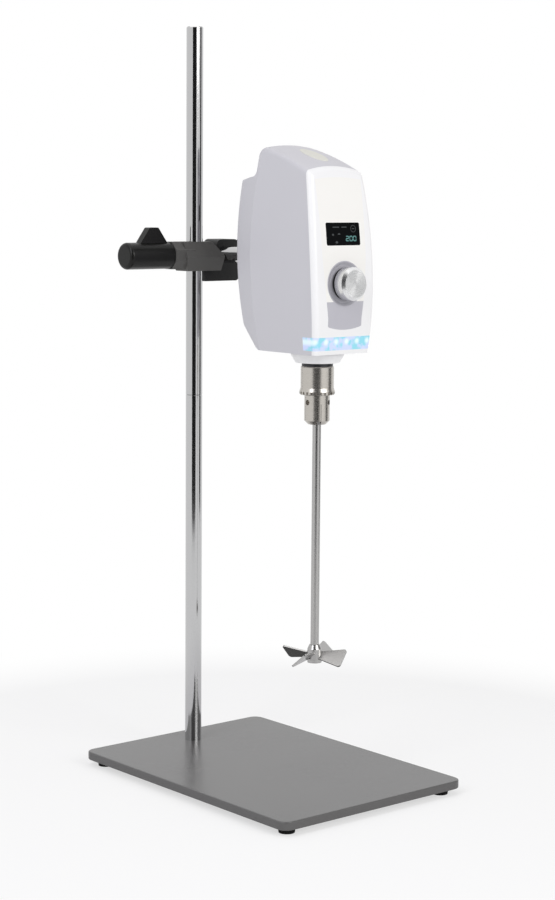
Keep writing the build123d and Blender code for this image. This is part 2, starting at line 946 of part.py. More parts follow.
def drive_board():
    return at_spindle(board(drive_board_bottom, drive_board_top) - slab(-far, motor_radius + 1))


def motor_stator():
    can = cylinder_between((0, 0, chassis_z), (0, 0, motor_top), motor_radius)
    can -= cylinder_between((0, 0, chassis_z), (0, 0, motor_top), motor_bore)
    return at_spindle(can)


def motor_cap_plate():
    cap = cylinder_between((0, 0, motor_top), (0, 0, cap_top), motor_radius)
    cap -= cylinder_between((0, 0, motor_top), (0, 0, cap_top), upper_bearing_radius)
    for x, y in motor_screw_places():
        cap -= cylinder_between((x, y, cap_top - motor_screw_grip), (x, y, cap_top), motor_screw_radius)
    return at_spindle(cap)


def motor_screws():
    solids = []
    for x, y in motor_screw_places():
        shank = cylinder_between((x, y, cap_top - motor_screw_grip), (x, y, cap_top), motor_screw_radius)
        head = cylinder_between((x, y, cap_top), (x, y, cap_top + motor_screw_head), motor_screw_head_radius)
        solids.append(at_spindle(shank + head))
    return Compound(children=solids)


def ring(low_z, high_z, outer, inner):
    solid = cylinder_between((0, 0, low_z), (0, 0, high_z), outer)
    solid -= cylinder_between((0, 0, low_z), (0, 0, high_z), inner)
    return at_spindle(solid)


def lower_bearing():
    low = collar_bottom + lower_bearing_lip
    return ring(low, chassis_z, lower_bearing_radius, spindle_radius + running_gap)


def upper_bearing():
    return ring(motor_top, cap_top, upper_bearing_radius, spindle_radius + running_gap)


def spindle_collar():
    """Cone-shaped nose that covers the lower bearing."""
    low = collar_bottom + lower_bearing_lip
    outline = [
        (collar_bore, collar_bottom),
        (collar_bottom_radius, collar_bottom),
        (collar_top_radius, head_bottom - 2),
        (collar_top_radius, head_bottom),
        (lower_bearing_radius, head_bottom),
        (lower_bearing_radius, low),
        (collar_bore, low),
    ]
    return turned(outline, spindle_x, spindle_y)


def motor_rotor():
    outer = motor_bore - rotor_gap
    return ring(chassis_z + rotor_inset, motor_top - rotor_inset, outer, spindle_radius)


def spindle_shaft():
    low = chuck_top - spindle_in_chuck
    return at_spindle(cylinder_between((0, 0, low), (0, 0, spindle_top), spindle_radius))


# Chuck.
def chuck_body():
    """Turned core with its nose, throat, jaw slots and key holes."""
    ledge = sleeve_bottom - seat_gap
    outline = [
        (0, nose_bottom),
        (nose_radius - nose_round, nose_bottom),
        (nose_radius, nose_bottom + nose_round),
        (nose_radius, ledge),
        (core_radius, ledge),
        (core_radius, chuck_top - ring_height),
        (0, chuck_top - ring_height),
    ]
    core = turned(outline, 0, 0)
    core -= cylinder_between((0, 0, nose_bottom), (0, 0, nose_bottom + throat_depth), chuck_throat)
    core -= cylinder_between((0, 0, chuck_top - spindle_in_chuck), (0, 0, chuck_top), spindle_radius)
    slot_reach = shaft_radius + jaw_reach + jaw_travel + 2 * seat_gap
    slot_half = jaw_width / 2 + running_gap
    for number in range(jaw_count):
        turn = 360 / jaw_count * number
        slot = block((0, -slot_half, nose_bottom - 1), (slot_reach, slot_half, nose_bottom + jaw_height + seat_gap))
        core -= Rot(0, 0, turn) * slot
        hole_z = sleeve_bottom - key_hole_drop
        hole = cylinder_between(
            (nose_radius - key_hole_depth, 0, hole_z), (nose_radius + 1, 0, hole_z), key_hole_radius
        )
        core -= Rot(0, 0, turn + 180 / jaw_count) * hole
    return at_spindle(core)


def chuck_ring():
    """Dark shroud ring between chuck and collar."""
    return ring(chuck_top - ring_height, chuck_top, ring_radius, spindle_radius)


def chuck_sleeve():
    inner = core_radius + running_gap
    top = chuck_top - ring_height
    outline = [
        (inner, sleeve_bottom),
        (sleeve_bottom_radius - sleeve_chamfer, sleeve_bottom),
        (sleeve_bottom_radius, sleeve_bottom + sleeve_chamfer),
        (sleeve_bottom_radius, sleeve_bottom + 4 * sleeve_chamfer),
        (sleeve_top_radius, sleeve_bottom + 8 * sleeve_chamfer),
        (sleeve_top_radius, top - sleeve_chamfer),
        (sleeve_top_radius - sleeve_chamfer, top),
        (inner, top),
    ]
    sleeve = turned(outline, 0, 0)
    for number in range(sleeve_teeth):
        sleeve -= Rot(0, 0, 360 / sleeve_teeth * number) * tooth_space()
    return at_spindle(sleeve)


def tooth_space():
    """Slanting notch between two bevel teeth for the chuck key."""
    half = tooth_gap / 2
    notch = block((-tooth_depth, -half, -tooth_depth), (2 * tooth_depth, half, tooth_depth))
    return Pos(sleeve_bottom_radius, 0, sleeve_bottom) * Rot(0, -45, 0) * notch


def chuck_jaw(number):
    near = shaft_radius + running_gap
    half = jaw_width / 2
    jaw = block((near, -half, nose_bottom), (near + jaw_reach, half, nose_bottom + jaw_height))
    jaw = chamfer(jaw.edges().filter_by(Axis.Y).group_by(Axis.Z)[0].sort_by(Axis.X)[-1:], half)
    return at_spindle(Rot(0, 0, 360 / jaw_count * number) * jaw)


# Stirring shaft and propeller.
def stirring_shaft():
    shaft = cylinder_between((0, 0, hub_bottom), (0, 0, shaft_top), shaft_radius)
    shaft = chamfer(shaft.edges().filter_by(GeomType.CIRCLE).group_by(Axis.Z)[-1], rod_chamfer / 2)
    return at_spindle(shaft)


def propeller_blade(number):
    """Fan-shaped blade set at its pitch across the shaft."""
    outline = [
        (hub_radius / 2, -blade_root_width / 2),
        (hub_radius, -blade_root_width / 2),
        (blade_radius, -blade_tip_width / 2),
        (blade_radius, blade_tip_width / 2),
        (hub_radius, blade_root_width / 2),
        (hub_radius / 2, blade_root_width / 2),
    ]
    face = make_face(Polyline(*outline, close=True))
    face = fillet(face.vertices().group_by(Axis.X)[-1], blade_corner)
    blade = extrude(face, amount=blade_thickness / 2, both=True)
    blade = Rot(blade_pitch, 0, 0) * blade
    return Rot(0, 0, blade_start + 360 / blade_count * number) * Pos(0, 0, blade_z) * blade


def propeller():
    top = hub_bottom + hub_height
    outline = [
        (shaft_radius, hub_bottom),
        (hub_radius, hub_bottom),
        (hub_radius, top),
        (shaft_radius + 1, top + hub_taper),
        (shaft_radius, top + hub_taper),
    ]
    wheel = turned(outline, 0, 0)
    for number in range(blade_count):
        wheel += propeller_blade(number)
    wheel -= cylinder_between((0, 0, 0), (0, 0, shaft_top), shaft_radius)
    screw_z = top - set_screw_radius
    wheel -= cylinder_between((0, 0, screw_z), (0, far, screw_z), set_screw_radius)
    return at_spindle(wheel)


def propeller_screw():
    screw_z = hub_bottom + hub_height - set_screw_radius
    screw = cylinder_between((0, shaft_radius, screw_z), (0, hub_radius - 0.4, screw_z), set_screw_radius)
    screw -= cylinder_between((0, 0, 0), (0, 0, shaft_top), shaft_radius)
    return at_spindle(screw)


# Knob and encoder.
def encoder_body():
    """Push encoder behind the panel with its bushing through the dish."""
    box_front = -bezel_wall - running_gap
    box = extrude(knob_plane(box_front - encoder_depth) * Rectangle(encoder_size, encoder_size), amount=encoder_depth)
    box += knob_bar(box_front, -dish_depth + bush_height, encoder_bush_radius)
    box -= knob_bar(box_front - encoder_depth + encoder_floor, 1, encoder_shaft_radius + running_gap)
    return at_spindle(box)


def encoder_shaft():
    inner = -bezel_wall - encoder_depth + encoder_floor + encoder_travel + seat_gap
    return at_spindle(knob_bar(inner, knob_gap + shaft_in_knob, encoder_shaft_radius))


def control_knob():
    """Turned grip with a broad chamfer round its face."""
    knob = knob_bar(knob_gap, knob_gap + knob_depth, knob_radius)
    front_edge = knob.edges().filter_by(GeomType.CIRCLE).sort_by(Axis.Y)[0]
    knob = chamfer(front_edge, knob_chamfer)
    knob -= knob_bar(knob_gap - 1, knob_gap + shaft_in_knob + seat_gap, encoder_shaft_radius + running_gap)
    return at_spindle(knob)


def knob_skirt():
    skirt = knob_bar(knob_gap - skirt_depth, knob_gap, skirt_radius)
    skirt -= knob_bar(knob_gap - skirt_depth - 1, knob_gap + 1, encoder_bush_radius + 1)
    return at_spindle(skirt)


# Display, light and rear fittings.
def display_module():
    """Lit display cell on its small board behind the window."""
    lean = radians(front_lean(display_z))
    normal = Vector(0, -cos(lean), sin(lean))
    foot = Vector(0, front_at(display_z), display_z)
    back = Plane(origin=foot - normal * (bezel_wall + seat_gap), x_dir=(1, 0, 0), z_dir=-normal)
    margin = display_board_margin
    width = display_width + margin
    height = display_height + margin
    cell = extrude(back * Rectangle(width - margin, height - margin), amount=display_module_depth)
    sheet = extrude(back.offset(display_module_depth) * Rectangle(width, height), amount=board_thickness)
    return at_spindle(cell + sheet)


def led_board():
    front = front_at((light_bottom + light_top) / 2) + bezel_wall + led_board_gap
    low = (-led_board_half, front, chassis_z)
    strip = block(low, (led_board_half, front + board_thickness, chassis_z + led_board_height))
    return at_spindle(strip)


def rod_socket():
    """Clamp block in the head that the support rod is pinned in."""
    low = (-socket_half, chassis_back, clamp_z - socket_half)
    socket = block(low, (socket_half, socket_rear, clamp_z + socket_half))
    start = support_front - spindle_y - seat_gap
    socket -= cylinder_between((0, start, clamp_z), (0, far * 2, clamp_z), support_radius + running_gap)
    top = clamp_z + socket_half
    socket -= cylinder_between((0, socket_screw_y, clamp_z), (0, socket_screw_y, top), socket_screw_radius)
    return at_spindle(socket)


def socket_screw():
    low = clamp_z + support_radius + seat_gap
    top = clamp_z + socket_half
    return at_spindle(cylinder_between((0, socket_screw_y, low), (0, socket_screw_y, top), socket_screw_radius))


def power_jack():
    """Round low-voltage socket with its centre pin."""
    body = cylinder_between((0, jack_seat - jack_depth, jack_z), (0, jack_seat, jack_z), jack_radius)
    body += cylinder_between((0, jack_seat, jack_z), (0, jack_seat + jack_flange, jack_z), jack_flange_radius)
    mouth = jack_seat + jack_flange + 1
    body -= cylinder_between((0, jack_seat - jack_depth + 3, jack_z), (0, mouth, jack_z), jack_hole)
    body += cylinder_between((0, jack_seat - jack_depth + 2, jack_z), (0, jack_seat - 1, jack_z), jack_pin)
    return at_spindle(body)


def switch_housing():
    half_x = switch_width / 2
    half_z = switch_height / 2
    body = block((-half_x, switch_seat - switch_depth, switch_z - half_z), (half_x, switch_seat, switch_z + half_z))
    rim_x = half_x + switch_rim
    rim_z = half_z + switch_rim
    low = (-rim_x, switch_seat, switch_z - rim_z)
    body += block(low, (rim_x, switch_seat + switch_flange, switch_z + rim_z))
    well_x = rocker_width / 2 + seat_gap
    well_z = rocker_height / 2 + seat_gap
    well_low = (-well_x, switch_seat - rocker_depth - 1, switch_z - well_z)
    body -= block(well_low, (well_x, switch_seat + switch_flange + 1, switch_z + well_z))
    pin_y = switch_seat - rocker_depth / 2
    body -= cylinder_between((-half_x + 1, pin_y, switch_z), (half_x - 1, pin_y, switch_z), 1 + running_gap)
    return at_spindle(body)


def switch_rocker():
    """Two-way paddle on a cross pin."""
    pin_y = switch_seat - rocker_depth / 2
    crest = switch_seat + switch_flange + rocker_rise
    half_z = rocker_height / 2
    outline = [
        (pin_y - 1.2, -1.2),
        (pin_y + 1.2, -half_z),
        (crest, -half_z + rocker_rise / 2),
        (switch_seat + switch_flange + 0.6, 0),
        (switch_seat + switch_flange + 0.6, half_z),
        (pin_y + 1.2, half_z),
        (pin_y - 1.2, 1.2),
    ]
    face = make_face(Polyline(*outline, close=True))
    paddle = extrude(Plane.YZ * face, rocker_width / 2, both=True)
    paddle = Pos(0, 0, switch_z) * paddle
    pin_half = switch_width / 2 - 1 - seat_gap
    paddle += cylinder_between((-pin_half, pin_y, switch_z), (pin_half, pin_y, switch_z), 1)
    return at_spindle(paddle)


def nodes():
    """Every sub-part by its node name."""
    made = {
        "base_plate": base_plate(),
        "feet": feet(),
        "foot_screws": foot_screws(),
        "lower_rod": lower_rod(),
        "upper_rod": upper_rod(),
        "rod_bolt": rod_bolt(),
        "boss_head": boss_head(),
        "rod_holder": rod_holder(),
        "boss_screws": boss_screws(),
        "support_rod": support_rod(),
        "front_bezel": front_bezel(),
        "main_shell": main_shell(),
        "rear_cover": rear_cover(),
        "cover_screws": cover_screws(),
        "control_panel": control_panel(),
        "lower_trim": lower_trim(),
        "display_window": display_window(),
        "display_module": display_module(),
        "light_bar": light_bar(),
        "led_board": led_board(),
        "chassis": chassis(),
        "control_board": control_board(),
        "drive_board": drive_board(),
        "motor_stator": motor_stator(),
        "motor_cap": motor_cap_plate(),
        "motor_screws": motor_screws(),
        "lower_bearing": lower_bearing(),
        "upper_bearing": upper_bearing(),
        "spindle_collar": spindle_collar(),
        "rod_socket": rod_socket(),
        "socket_screw": socket_screw(),
        "power_jack": power_jack(),
        "switch_housing": switch_housing(),
        "switch_rocker": switch_rocker(),
        "motor_rotor": motor_rotor(),
        "spindle_shaft": spindle_shaft(),
        "chuck_body": chuck_body(),
        "chuck_ring": chuck_ring(),
        "chuck_sleeve": chuck_sleeve(),
        "stirring_shaft": stirring_shaft(),
        "propeller": propeller(),
        "propeller_screw": propeller_screw(),
        "encoder_body": encoder_body(),
        "encoder_shaft": encoder_shaft(),
        "control_knob": control_knob(),
        "knob_skirt": knob_skirt(),
    }
    for number in range(jaw_count):
        made[f"chuck_jaw_{number + 1}"] = chuck_jaw(number)
    stand = clamp_parts(0, rod_y, rod_radius, -1, neck_end, stand_handle_length)
    holder_face = holder_right + holder_neck
    support = clamp_parts(support_x, holder_mid_y, support_radius, 1, holder_face, support_handle_length)
    for name, parts in (("stand", stand), ("support", support)):
        made[f"{name}_clamp_pad"] = parts[0]
        made[f"{name}_clamp_screw"] = parts[1]
        made[f"{name}_clamp_handle"] = parts[2]
    return made


for name, shape in nodes().items():
    shape.label = name
    export_step(shape, f"parts/{name}.step")
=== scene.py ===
import json
import math

import bpy
import numpy as np
from mathutils import Matrix, Vector


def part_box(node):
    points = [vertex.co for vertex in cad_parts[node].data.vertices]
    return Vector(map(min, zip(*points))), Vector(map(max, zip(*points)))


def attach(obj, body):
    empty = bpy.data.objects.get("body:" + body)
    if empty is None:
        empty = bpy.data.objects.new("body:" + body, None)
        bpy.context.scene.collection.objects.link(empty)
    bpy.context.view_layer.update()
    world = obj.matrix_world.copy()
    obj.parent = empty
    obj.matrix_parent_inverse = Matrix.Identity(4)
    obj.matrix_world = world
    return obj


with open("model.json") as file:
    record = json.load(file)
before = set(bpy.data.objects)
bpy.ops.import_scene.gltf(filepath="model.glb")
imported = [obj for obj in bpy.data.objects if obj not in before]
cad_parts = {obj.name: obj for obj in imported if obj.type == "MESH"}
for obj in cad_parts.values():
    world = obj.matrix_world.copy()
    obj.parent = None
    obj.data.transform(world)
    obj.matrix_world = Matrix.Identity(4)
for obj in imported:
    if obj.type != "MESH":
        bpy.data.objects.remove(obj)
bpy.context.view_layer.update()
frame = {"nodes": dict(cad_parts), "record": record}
nodes = frame["nodes"]
print("stage: frame loaded,", len(nodes), "pieces")


def newGroup(name, inputs, outputs):
    group = bpy.data.node_groups.new(name, "ShaderNodeTree")
    for label, kind, value in inputs:
        socket = group.interface.new_socket(name=label, in_out="INPUT", socket_type=kind)
        if value is not None:
            socket.default_value = value
    for label, kind in outputs:
        group.interface.new_socket(name=label, in_out="OUTPUT", socket_type=kind)
    source = group.nodes.new("NodeGroupInput")
    sink = group.nodes.new("NodeGroupOutput")
    return group, source, sink


def addNode(tree, kind, values=(), **settings):
    node = tree.nodes.new(kind)
    for key, value in settings.items():
        setattr(node, key, value)
    for index, value in dict(values).items():
        node.inputs[index].default_value = value
    return node


groupOutputs = [
    ("Color", "NodeSocketColor"),
    ("Roughness", "NodeSocketFloat"),
    ("Normal", "NodeSocketVector"),
]


def finishGroup():
    # broad tone drift, fine grain and roughness drift, all from object coordinates
    inputs = [
        ("Base", "NodeSocketColor", (0.5, 0.5, 0.5, 1)),
        ("Tone", "NodeSocketFloat", 0.03),
        ("Broad", "NodeSocketFloat", 12.0),
        ("Fine", "NodeSocketFloat", 900.0),
        ("Stretch", "NodeSocketVector", (1, 1, 1)),
        ("Rough", "NodeSocketFloat", 0.4),
        ("Drift", "NodeSocketFloat", 0.05),
        ("Grain", "NodeSocketFloat", 0.05),
    ]
    group, source, sink = newGroup("finish", inputs, groupOutputs)
    link = group.links.new
    place = addNode(group, "ShaderNodeTexCoord")
    stretch = addNode(group, "ShaderNodeVectorMath", operation="MULTIPLY")
    link(place.outputs["Object"], stretch.inputs[0])
    link(source.outputs["Stretch"], stretch.inputs[1])
    broad = addNode(group, "ShaderNodeTexNoise", {"Detail": 3.0, "Roughness": 0.55})
    link(place.outputs["Object"], broad.inputs["Vector"])
    link(source.outputs["Broad"], broad.inputs["Scale"])
    fine = addNode(group, "ShaderNodeTexNoise", {"Detail": 2.0, "Roughness": 0.6})
    link(stretch.outputs[0], fine.inputs["Vector"])
    link(source.outputs["Fine"], fine.inputs["Scale"])
    shift = addNode(group, "ShaderNodeMath", {1: 0.5}, operation="SUBTRACT")
    link(broad.outputs["Fac"], shift.inputs[0])
    grainShift = addNode(group, "ShaderNodeMath", {1: 0.5}, operation="SUBTRACT")
    link(fine.outputs["Fac"], grainShift.inputs[0])
    both = addNode(group, "ShaderNodeMath", operation="ADD")
    link(shift.outputs[0], both.inputs[0])
    link(grainShift.outputs[0], both.inputs[1])
    level = addNode(group, "ShaderNodeMath", {2: 1.0}, operation="MULTIPLY_ADD")
    link(both.outputs[0], level.inputs[0])
    link(source.outputs["Tone"], level.inputs[1])
    tint = addNode(group, "ShaderNodeVectorMath", operation="SCALE")
    link(source.outputs["Base"], tint.inputs[0])
    link(level.outputs[0], tint.inputs["Scale"])
    link(tint.outputs[0], sink.inputs["Color"])
    rough = addNode(group, "ShaderNodeMath", operation="MULTIPLY_ADD", use_clamp=True)
    link(both.outputs[0], rough.inputs[0])
    link(source.outputs["Drift"], rough.inputs[1])
    link(source.outputs["Rough"], rough.inputs[2])
    link(rough.outputs[0], sink.inputs["Roughness"])
    bump = addNode(group, "ShaderNodeBump", {"Distance": 0.0002})
    link(source.outputs["Grain"], bump.inputs["Strength"])
    link(fine.outputs["Fac"], bump.inputs["Height"])
    link(bump.outputs[0], sink.inputs["Normal"])
    return group


def turnedGroup():
    # circular tool marks: noise read over (distance along the axis, distance from it)
    inputs = [
        ("Base", "NodeSocketColor", (0.5, 0.5, 0.5, 1)),
        ("Point", "NodeSocketVector", (0, 0, 0)),
        ("Axis", "NodeSocketVector", (0, 0, 1)),
        ("Groove", "NodeSocketFloat", 2500.0),
        ("Tone", "NodeSocketFloat", 0.10),
        ("Rough", "NodeSocketFloat", 0.25),
        ("Drift", "NodeSocketFloat", 0.10),
        ("Grain", "NodeSocketFloat", 0.10),
    ]
    group, source, sink = newGroup("turned", inputs, groupOutputs)
    link = group.links.new
    place = addNode(group, "ShaderNodeTexCoord")
    fromPoint = addNode(group, "ShaderNodeVectorMath", operation="SUBTRACT")
    link(place.outputs["Object"], fromPoint.inputs[0])
    link(source.outputs["Point"], fromPoint.inputs[1])
    along = addNode(group, "ShaderNodeVectorMath", operation="DOT_PRODUCT")
    link(fromPoint.outputs[0], along.inputs[0])
    link(source.outputs["Axis"], along.inputs[1])
    across = addNode(group, "ShaderNodeVectorMath", operation="CROSS_PRODUCT")
    link(fromPoint.outputs[0], across.inputs[0])
    link(source.outputs["Axis"], across.inputs[1])
    away = addNode(group, "ShaderNodeVectorMath", operation="LENGTH")
    link(across.outputs[0], away.inputs[0])
    pair = addNode(group, "ShaderNodeCombineXYZ")
    link(along.outputs["Value"], pair.inputs[0])
    link(away.outputs["Value"], pair.inputs[1])
    marks = addNode(group, "ShaderNodeTexNoise", {"Detail": 3.0, "Roughness": 0.7})
    link(pair.outputs[0], marks.inputs["Vector"])
    link(source.outputs["Groove"], marks.inputs["Scale"])
    shift = addNode(group, "ShaderNodeMath", {1: 0.5}, operation="SUBTRACT")
    link(marks.outputs["Fac"], shift.inputs[0])
    level = addNode(group, "ShaderNodeMath", {2: 1.0}, operation="MULTIPLY_ADD")
    link(shift.outputs[0], level.inputs[0])
    link(source.outputs["Tone"], level.inputs[1])
    tint = addNode(group, "ShaderNodeVectorMath", operation="SCALE")
    link(source.outputs["Base"], tint.inputs[0])
    link(level.outputs[0], tint.inputs["Scale"])
    link(tint.outputs[0], sink.inputs["Color"])
    rough = addNode(group, "ShaderNodeMath", operation="MULTIPLY_ADD", use_clamp=True)
    link(shift.outputs[0], rough.inputs[0])
    link(source.outputs["Drift"], rough.inputs[1])
    link(source.outputs["Rough"], rough.inputs[2])
    link(rough.outputs[0], sink.inputs["Roughness"])
    bump = addNode(group, "ShaderNodeBump", {"Distance": 0.0001})
    link(source.outputs["Grain"], bump.inputs["Strength"])
    link(marks.outputs["Fac"], bump.inputs["Height"])
    link(bump.outputs[0], sink.inputs["Normal"])
    return group


finish = finishGroup()
turned = turnedGroup()


def makeMaterial(name, look):
    # look: base, metal, rough and the finish group's own inputs; with a point and axis it is lathe turned
    material = bpy.data.materials.new(name)
    material.use_nodes = True
    tree = material.node_tree
    shader = tree.nodes["Principled BSDF"]
    effect = addNode(tree, "ShaderNodeGroup", node_tree=turned if "axis" in look else finish)
    effect.inputs["Base"].default_value = (*look["base"], 1)
    for key in ("Tone", "Broad", "Fine", "Stretch", "Rough", "Drift", "Grain", "Point", "Axis", "Groove"):
        if key.lower() in look:
            effect.inputs[key].default_value = look[key.lower()]
    tree.links.new(effect.outputs["Color"], shader.inputs["Base Color"])
    tree.links.new(effect.outputs["Roughness"], shader.inputs["Roughness"])
    tree.links.new(effect.outputs["Normal"], shader.inputs["Normal"])
    shader.inputs["Metallic"].default_value = look.get("metal", 0.0)
    shader.inputs["Coat Weight"].default_value = look.get("coat", 0.0)
    shader.inputs["Coat Roughness"].default_value = look.get("coatRough", 0.1)
    shader.inputs["Specular IOR Level"].default_value = look.get("specular", 0.5)
    if "spin" in look:
        # lathe marks run round the axis, so light spreads along the radius in wedges
        shader.inputs["Anisotropic"].default_value = look["spin"]
        place = addNode(tree, "ShaderNodeTexCoord")
        fromPoint = addNode(tree, "ShaderNodeVectorMath", {1: look["point"]}, operation="SUBTRACT")
        around = addNode(tree, "ShaderNodeVectorMath", {1: look["axis"]}, operation="CROSS_PRODUCT")
        unit = addNode(tree, "ShaderNodeVectorMath", operation="NORMALIZE")
        tree.links.new(place.outputs["Object"], fromPoint.inputs[0])
        tree.links.new(fromPoint.outputs[0], around.inputs[0])
        tree.links.new(around.outputs[0], unit.inputs[0])
        tree.links.new(unit.outputs[0], shader.inputs["Tangent"])
    if "glow" in look:
        shader.inputs["Emission Color"].default_value = (*look["glow"], 1)
        shader.inputs["Emission Strength"].default_value = look["glowPower"]
    return material


def boxMiddle(node):
    low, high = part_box(node)
    return tuple((a + b) / 2 for a, b in zip(low, high))


knobMiddle = boxMiddle("control_knob")
knobAxis = (0.0, -0.9962, 0.0872)
spindleMiddle = boxMiddle("spindle_collar")
looks = {
    "basePaint": {
        "base": (0.104, 0.102, 0.101), "rough": 0.26, "tone": 0.06,
        "fine": 1500.0, "grain": 0.10, "drift": 0.06,
    },
    "rubber": {"base": (0.010, 0.010, 0.010), "rough": 0.75, "fine": 2500.0, "grain": 0.3, "specular": 0.2},
    "brightRod": {
        "base": (0.52, 0.52, 0.525), "metal": 1.0, "rough": 0.10,
        "stretch": (1, 1, 0.02), "fine": 3000.0, "grain": 0.02,
    },
    "clampPaint": {
        "base": (0.085, 0.083, 0.080), "rough": 0.44,
        "fine": 1600.0, "grain": 0.28, "tone": 0.14, "specular": 0.2,
    },
    # same cast grey paint as the clamp, given a much darker base as painted shade for the block that sits
    # in shadow under the support rod
    "holderPaintedShade": {
        "base": (0.022, 0.022, 0.022), "rough": 0.45, "fine": 1600.0, "grain": 0.25, "specular": 0.25,
    },
    "gripPlastic": {
        "base": (0.004, 0.004, 0.0036), "rough": 0.30, "fine": 2200.0, "grain": 0.14, "specular": 0.24,
    },
    # same plastic as the bezel, given a darker, bluer base as painted shade for the sides and roof, which
    # get less light than the front
    "shellPaintedShade": {
        "base": (0.565, 0.56, 0.595), "rough": 0.44,
        "fine": 2600.0, "grain": 0.06, "tone": 0.02, "specular": 0.3,
    },
    "bezel": {
        "base": (0.83, 0.83, 0.84), "rough": 0.30,
        "fine": 2600.0, "grain": 0.03, "tone": 0.01, "specular": 0.35,
    },
    "panel": {
        "base": (0.84, 0.83, 0.805), "rough": 0.42,
        "fine": 2600.0, "grain": 0.03, "tone": 0.015, "specular": 0.3,
    },
    "trim": {"base": (0.47, 0.465, 0.51), "rough": 0.40, "fine": 2600.0, "grain": 0.03, "specular": 0.3},
    "glass": {
        "base": (0.0015, 0.002, 0.0025), "rough": 0.12, "specular": 0.05, "fine": 2000.0, "grain": 0.0,
    },
    "steel": {"base": (0.42, 0.415, 0.41), "metal": 1.0, "rough": 0.26, "fine": 1800.0, "grain": 0.05},
    "darkSteel": {"base": (0.035, 0.035, 0.038), "metal": 0.6, "rough": 0.4, "fine": 1800.0, "grain": 0.1},
    "chuck": {
        "base": (0.50, 0.475, 0.44), "metal": 1.0, "rough": 0.27, "point": spindleMiddle,
        "axis": (0.0, 0.0, 1.0), "groove": 3200.0, "tone": 0.20, "grain": 0.15,
    },
    "aluminium": {
        "base": (0.78, 0.785, 0.79), "metal": 1.0, "rough": 0.27, "point": knobMiddle, "axis": knobAxis,
        "groove": 3000.0, "tone": 0.14, "grain": 0.12, "spin": 0.75,
    },
    "sheet": {"base": (0.50, 0.50, 0.51), "metal": 1.0, "rough": 0.40, "fine": 1800.0, "grain": 0.03},
    "brass": {"base": (0.55, 0.40, 0.17), "metal": 1.0, "rough": 0.35, "fine": 1800.0, "grain": 0.03},
    "board": {"base": (0.03, 0.16, 0.07), "rough": 0.45, "fine": 1800.0, "grain": 0.05},
    "inlay": {"base": (0.66, 0.655, 0.60), "rough": 0.45, "fine": 2600.0, "grain": 0.03, "specular": 0.3},
    "digits": {
        "base": (0.08, 0.20, 0.19), "rough": 0.4, "glow": (0.09, 0.26, 0.25), "glowPower": 0.30,
        "fine": 900.0, "grain": 0.0,
    },
    "marks": {"base": (0.060, 0.065, 0.068), "rough": 0.4, "fine": 900.0, "grain": 0.0, "specular": 0.1},
}
materials = {name: makeMaterial(name, look) for name, look in looks.items()}

lightBar = {
    "pale": (0.58, 0.66, 0.92),
    "tint": (0.28, 0.66, 0.78),
    "spot": (0.80, 0.93, 0.96),
    "patchScale": 130.0,
    "patchFrom": 0.40,
    "patchTo": 0.60,
    "spacing": 0.0125,  # from lamp to lamp
    "spotHeight": 0.65,  # share of the strip's height
    "spotRadius": 0.0042,
    "spotCore": 0.0006,
    "spotStrength": 0.85,
    "rough": 0.22,
    "specular": 0.4,
    "glow": 0.10,
}


def lightMaterial():
    # clear strip over a row of lamps: soft tint patches, and a pale spot round each lamp
    low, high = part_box("light_bar")
    material = bpy.data.materials.new("light")
    material.use_nodes = True
    tree = material.node_tree
    link = tree.links.new
    shader = tree.nodes["Principled BSDF"]
    shader.inputs["Roughness"].default_value = lightBar["rough"]
    shader.inputs["Specular IOR Level"].default_value = lightBar["specular"]
    shader.inputs["Emission Strength"].default_value = lightBar["glow"]
    place = addNode(tree, "ShaderNodeTexCoord")
    patches = addNode(tree, "ShaderNodeTexNoise", {"Scale": lightBar["patchScale"], "Detail": 2.0})
    link(place.outputs["Object"], patches.inputs["Vector"])
    limits = {1: lightBar["patchFrom"], 2: lightBar["patchTo"]}
    spread = addNode(tree, "ShaderNodeMapRange", limits, interpolation_type="SMOOTHSTEP")
    link(patches.outputs["Fac"], spread.inputs[0])
    body = addNode(tree, "ShaderNodeMix", data_type="RGBA")
    body.inputs[6].default_value = (*lightBar["pale"], 1)
    body.inputs[7].default_value = (*lightBar["tint"], 1)
    link(spread.outputs[0], body.inputs[0])
    split = addNode(tree, "ShaderNodeSeparateXYZ")
    link(place.outputs["Object"], split.inputs[0])
    # across, folded back on itself so that a lamp sits at every whole spacing
    step = addNode(tree, "ShaderNodeMath", {1: lightBar["spacing"] / 2}, operation="PINGPONG")
    link(split.outputs[0], step.inputs[0])
    spotLevel = low[2] + (high[2] - low[2]) * lightBar["spotHeight"]
    rise = addNode(tree, "ShaderNodeMath", {1: spotLevel}, operation="SUBTRACT")
    link(split.outputs[2], rise.inputs[0])
    pair = addNode(tree, "ShaderNodeCombineXYZ")
    link(step.outputs[0], pair.inputs[0])
    link(rise.outputs[0], pair.inputs[1])
    reach = addNode(tree, "ShaderNodeVectorMath", operation="LENGTH")
    link(pair.outputs[0], reach.inputs[0])
    limits = {1: lightBar["spotRadius"], 2: lightBar["spotCore"], 3: 0.0, 4: lightBar["spotStrength"]}
    near = addNode(tree, "ShaderNodeMapRange", limits, interpolation_type="SMOOTHSTEP")
    link(reach.outputs["Value"], near.inputs[0])
    whole = addNode(tree, "ShaderNodeMix", data_type="RGBA")
    whole.inputs[7].default_value = (*lightBar["spot"], 1)
    link(near.outputs[0], whole.inputs[0])
    link(body.outputs[2], whole.inputs[6])
    link(whole.outputs[2], shader.inputs["Base Color"])
    link(whole.outputs[2], shader.inputs["Emission Color"])
    return material


